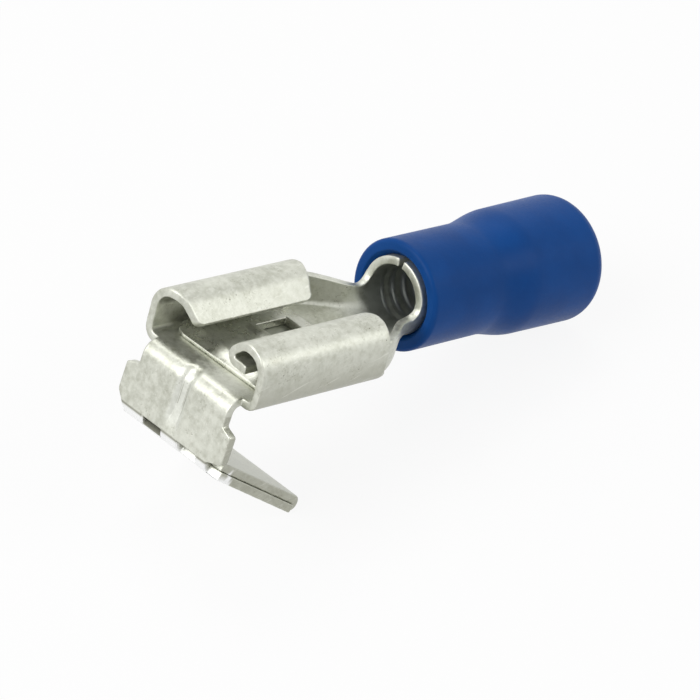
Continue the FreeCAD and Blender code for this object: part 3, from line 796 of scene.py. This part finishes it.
def tinnedSheet(name, leastRough):
    # tin plate: cloudy warm grey, fine mottling, dark pits and stains in patches, light scratches along it; the zone
    # attributes add painted shade, a painted highlight and a painted reflection
    graph = Graph(name)
    place = graph.place()
    cloud = graph.noise(place, 0.7, 3.0, 0.55)
    fine = graph.noise(place, 3.4, 5.0, 0.65)
    speck = graph.noise(place, 9.0, 3.0, 0.6)
    lines = graph.noise(graph.place(1.0, (0.22, 4.5, 4.5)), 2.6, 3.0, 0.55)
    pits = graph.node("ShaderNodeTexVoronoi", {}, {"Vector": place, "Scale": 1.9, "Randomness": 1.0})
    worn = graph.band(graph.noise(place, 0.9, 2.0), 0.48, 0.62)
    pitMask = (1.0 - graph.band(pits, 0.03, 0.085)) * worn
    stain = graph.band(speck, 0.56, 0.68) * worn
    inside, polishAndReflection, creaseShade = graph.attribute("inside"), graph.attribute("polishAndReflection"), graph.attribute("creaseShade")
    cutAndShade, burnishAndHighlight, lowWallShade = graph.attribute("cutAndShade"), graph.attribute("burnishAndHighlight"), graph.attribute("lowWallShade")
    sillShade = graph.attribute("sillShade")
    tone = graph.mix(graph.band(cloud, 0.3, 0.7), (0.51, 0.52, 0.445, 1), (0.61, 0.62, 0.545, 1))
    tone = graph.mix(graph.band(fine, 0.42, 0.66) * 0.5, tone, (0.72, 0.73, 0.66, 1))
    tone = graph.mix((1.0 - graph.band(fine, 0.3, 0.47)) * 0.32, tone, (0.38, 0.38, 0.30, 1))
    # painted shade low on the outer walls
    tone = graph.mix(lowWallShade * 0.6, tone, (0.36, 0.36, 0.30, 1))
    # burnish with a painted highlight on the pressed rib
    tone = graph.mix(burnishAndHighlight * 0.42, tone, (0.80, 0.815, 0.77, 1))
    # darker cut faces with painted shade
    tone = graph.mix(cutAndShade * (graph.band(fine, 0.3, 0.7) * 0.35 + 0.4), tone, (0.31, 0.31, 0.245, 1))
    tone = graph.mix(graph.band(lines, 0.6, 0.72) * 0.35, tone, (0.82, 0.82, 0.76, 1))
    tone = graph.mix(stain * 0.45, tone, (0.24, 0.235, 0.17, 1))
    tone = graph.mix(pitMask * 0.8, tone, (0.10, 0.095, 0.06, 1))
    # painted shade inside the neck and barrel and on the floor under the plate's window
    tone = graph.mix(inside * 0.66, tone, (0.31, 0.335, 0.31, 1))
    # polish with a painted reflection on the low bend's skin
    tone = graph.mix(polishAndReflection, tone, (0.93, 0.935, 0.93, 1))
    # painted shade on the line above the low bend
    tone = graph.mix(creaseShade * 0.75, tone, (0.16, 0.155, 0.11, 1))
    # painted shade on the far window's cut wall
    tone = graph.mix(sillShade, tone, (0.21, 0.21, 0.17, 1))
    rough = (graph.band(cloud, 0.2, 0.8) * 0.1 + graph.band(fine, 0.3, 0.7) * 0.12 + pitMask * 0.2 + sillShade * 0.3
             + leastRough)
    height = fine * 0.6 + speck * 0.25 + lines * 0.25 - pitMask * 0.9
    bump = graph.node("ShaderNodeBump", {}, {"Strength": 0.3, "Distance": 0.00003, "Height": height})
    shader = graph.node("ShaderNodeBsdfPrincipled", {}, {"Base Color": tone, "Metallic": 0.85, "Roughness": rough,
                                                         "Normal": bump})
    return graph.finish(shader)


def bluePlastic(name):
    # moulded plastic: deep blue with a faint light speckle and a soft sheen
    graph = Graph(name)
    place = graph.place()
    cloud = graph.noise(place, 0.4, 3.0)
    speckle = graph.noise(place, 9.0, 3.0, 0.7)
    tone = graph.mix(graph.band(cloud, 0.3, 0.7), (0.004, 0.054, 0.225, 1), (0.005, 0.066, 0.27, 1))
    tone = graph.mix(graph.band(speckle, 0.62, 0.8) * 0.4, tone, (0.022, 0.12, 0.36, 1))
    rough = graph.band(speckle, 0.3, 0.8) * 0.12 + 0.36
    height = speckle + graph.noise(place, 2.0, 2.0) * 0.8
    bump = graph.node("ShaderNodeBump", {}, {"Strength": 0.18, "Distance": 0.00003, "Height": height})
    shader = graph.node("ShaderNodeBsdfPrincipled", {}, {"Base Color": tone, "Roughness": rough, "Normal": bump,
                                                         "IOR": 1.5, "Specular IOR Level": 0.1})
    return graph.finish(shader)


terminalSheet.data.materials.append(tinnedSheet("tinnedSheet", 0.3))
floorPlate.data.materials.append(tinnedSheet("floorSheet", 0.2))
sleeve.data.materials.append(bluePlastic("bluePlastic"))
print("materials made")

stageValues = {"floorHalf": 0.6, "shadowKept": 0.1, "backdrop": 1.0, "light": 0.34,
               "lamps": [("key", (-0.34, 0.10, 0.34), (0.40, 0.40), 1.5),
                         ("side", (0.33, -0.38, 0.30), (0.26, 0.26), 0.65),
                         ("back", (0.20, 0.25, 0.45), (0.30, 0.20), 0.6)]}


def whiteForLooks(graph, shader, strength):
    # camera, glossy and clear rays see plain white, other rays see the given shader
    path = graph.node("ShaderNodeLightPath", output="Is Camera Ray")
    node = path.socket.node
    seen = path + Wire(graph, node.outputs["Is Glossy Ray"]) + Wire(graph, node.outputs["Is Transmission Ray"])
    white = graph.node("ShaderNodeEmission", {}, {"Color": (1, 1, 1, 1), "Strength": strength})
    return graph.node("ShaderNodeMixShader", {}, [seen.clamped() * (1.0 - stageValues["shadowKept"]), shader, white])


def buildStage():
    # a pale floor, a white world and the lamps, each turned to the origin
    half = stageValues["floorHalf"]
    corners = np.array([[-half, -half, 0], [half, -half, 0], [half, half, 0], [-half, half, 0]])
    floor = newMesh("floor", corners, np.array([[0, 1, 2, 3]]))
    graph = Graph("paleFloor")
    paper = graph.node("ShaderNodeBsdfDiffuse", {}, {"Color": (0.9, 0.9, 0.9, 1)})
    floor.data.materials.append(graph.finish(whiteForLooks(graph, paper, stageValues["backdrop"])))
    world = bpy.data.worlds.new("studio")
    bpy.context.scene.world = world
    world.use_nodes = True
    tree = world.node_tree
    tree.nodes.clear()
    path = tree.nodes.new("ShaderNodeLightPath")
    # camera, clear and glossy rays see the backdrop, all others the light
    looks = path.outputs["Is Camera Ray"]
    for ray in ("Is Transmission Ray", "Is Glossy Ray"):
        either = tree.nodes.new("ShaderNodeMath")
        either.operation = "MAXIMUM"
        tree.links.new(looks, either.inputs[0])
        tree.links.new(path.outputs[ray], either.inputs[1])
        looks = either.outputs[0]
    strength = tree.nodes.new("ShaderNodeMapRange")
    strength.inputs["To Min"].default_value = stageValues["light"]
    strength.inputs["To Max"].default_value = stageValues["backdrop"]
    tree.links.new(looks, strength.inputs["Value"])
    back = tree.nodes.new("ShaderNodeBackground")
    back.inputs["Color"].default_value = (1, 1, 1, 1)
    tree.links.new(strength.outputs[0], back.inputs["Strength"])
    end = tree.nodes.new("ShaderNodeOutputWorld")
    tree.links.new(back.outputs[0], end.inputs["Surface"])
    for name, place, size, power in stageValues["lamps"]:
        data = bpy.data.lights.new(name, "AREA")
        data.shape = "RECTANGLE"
        data.size, data.size_y = size
        data.energy = power
        lamp = bpy.data.objects.new(name, data)
        lamp.location = place
        lamp.rotation_euler = (-Vector(place)).to_track_quat("-Z", "Y").to_euler()
        bpy.context.scene.collection.objects.link(lamp)


buildStage()
print("stage lit")
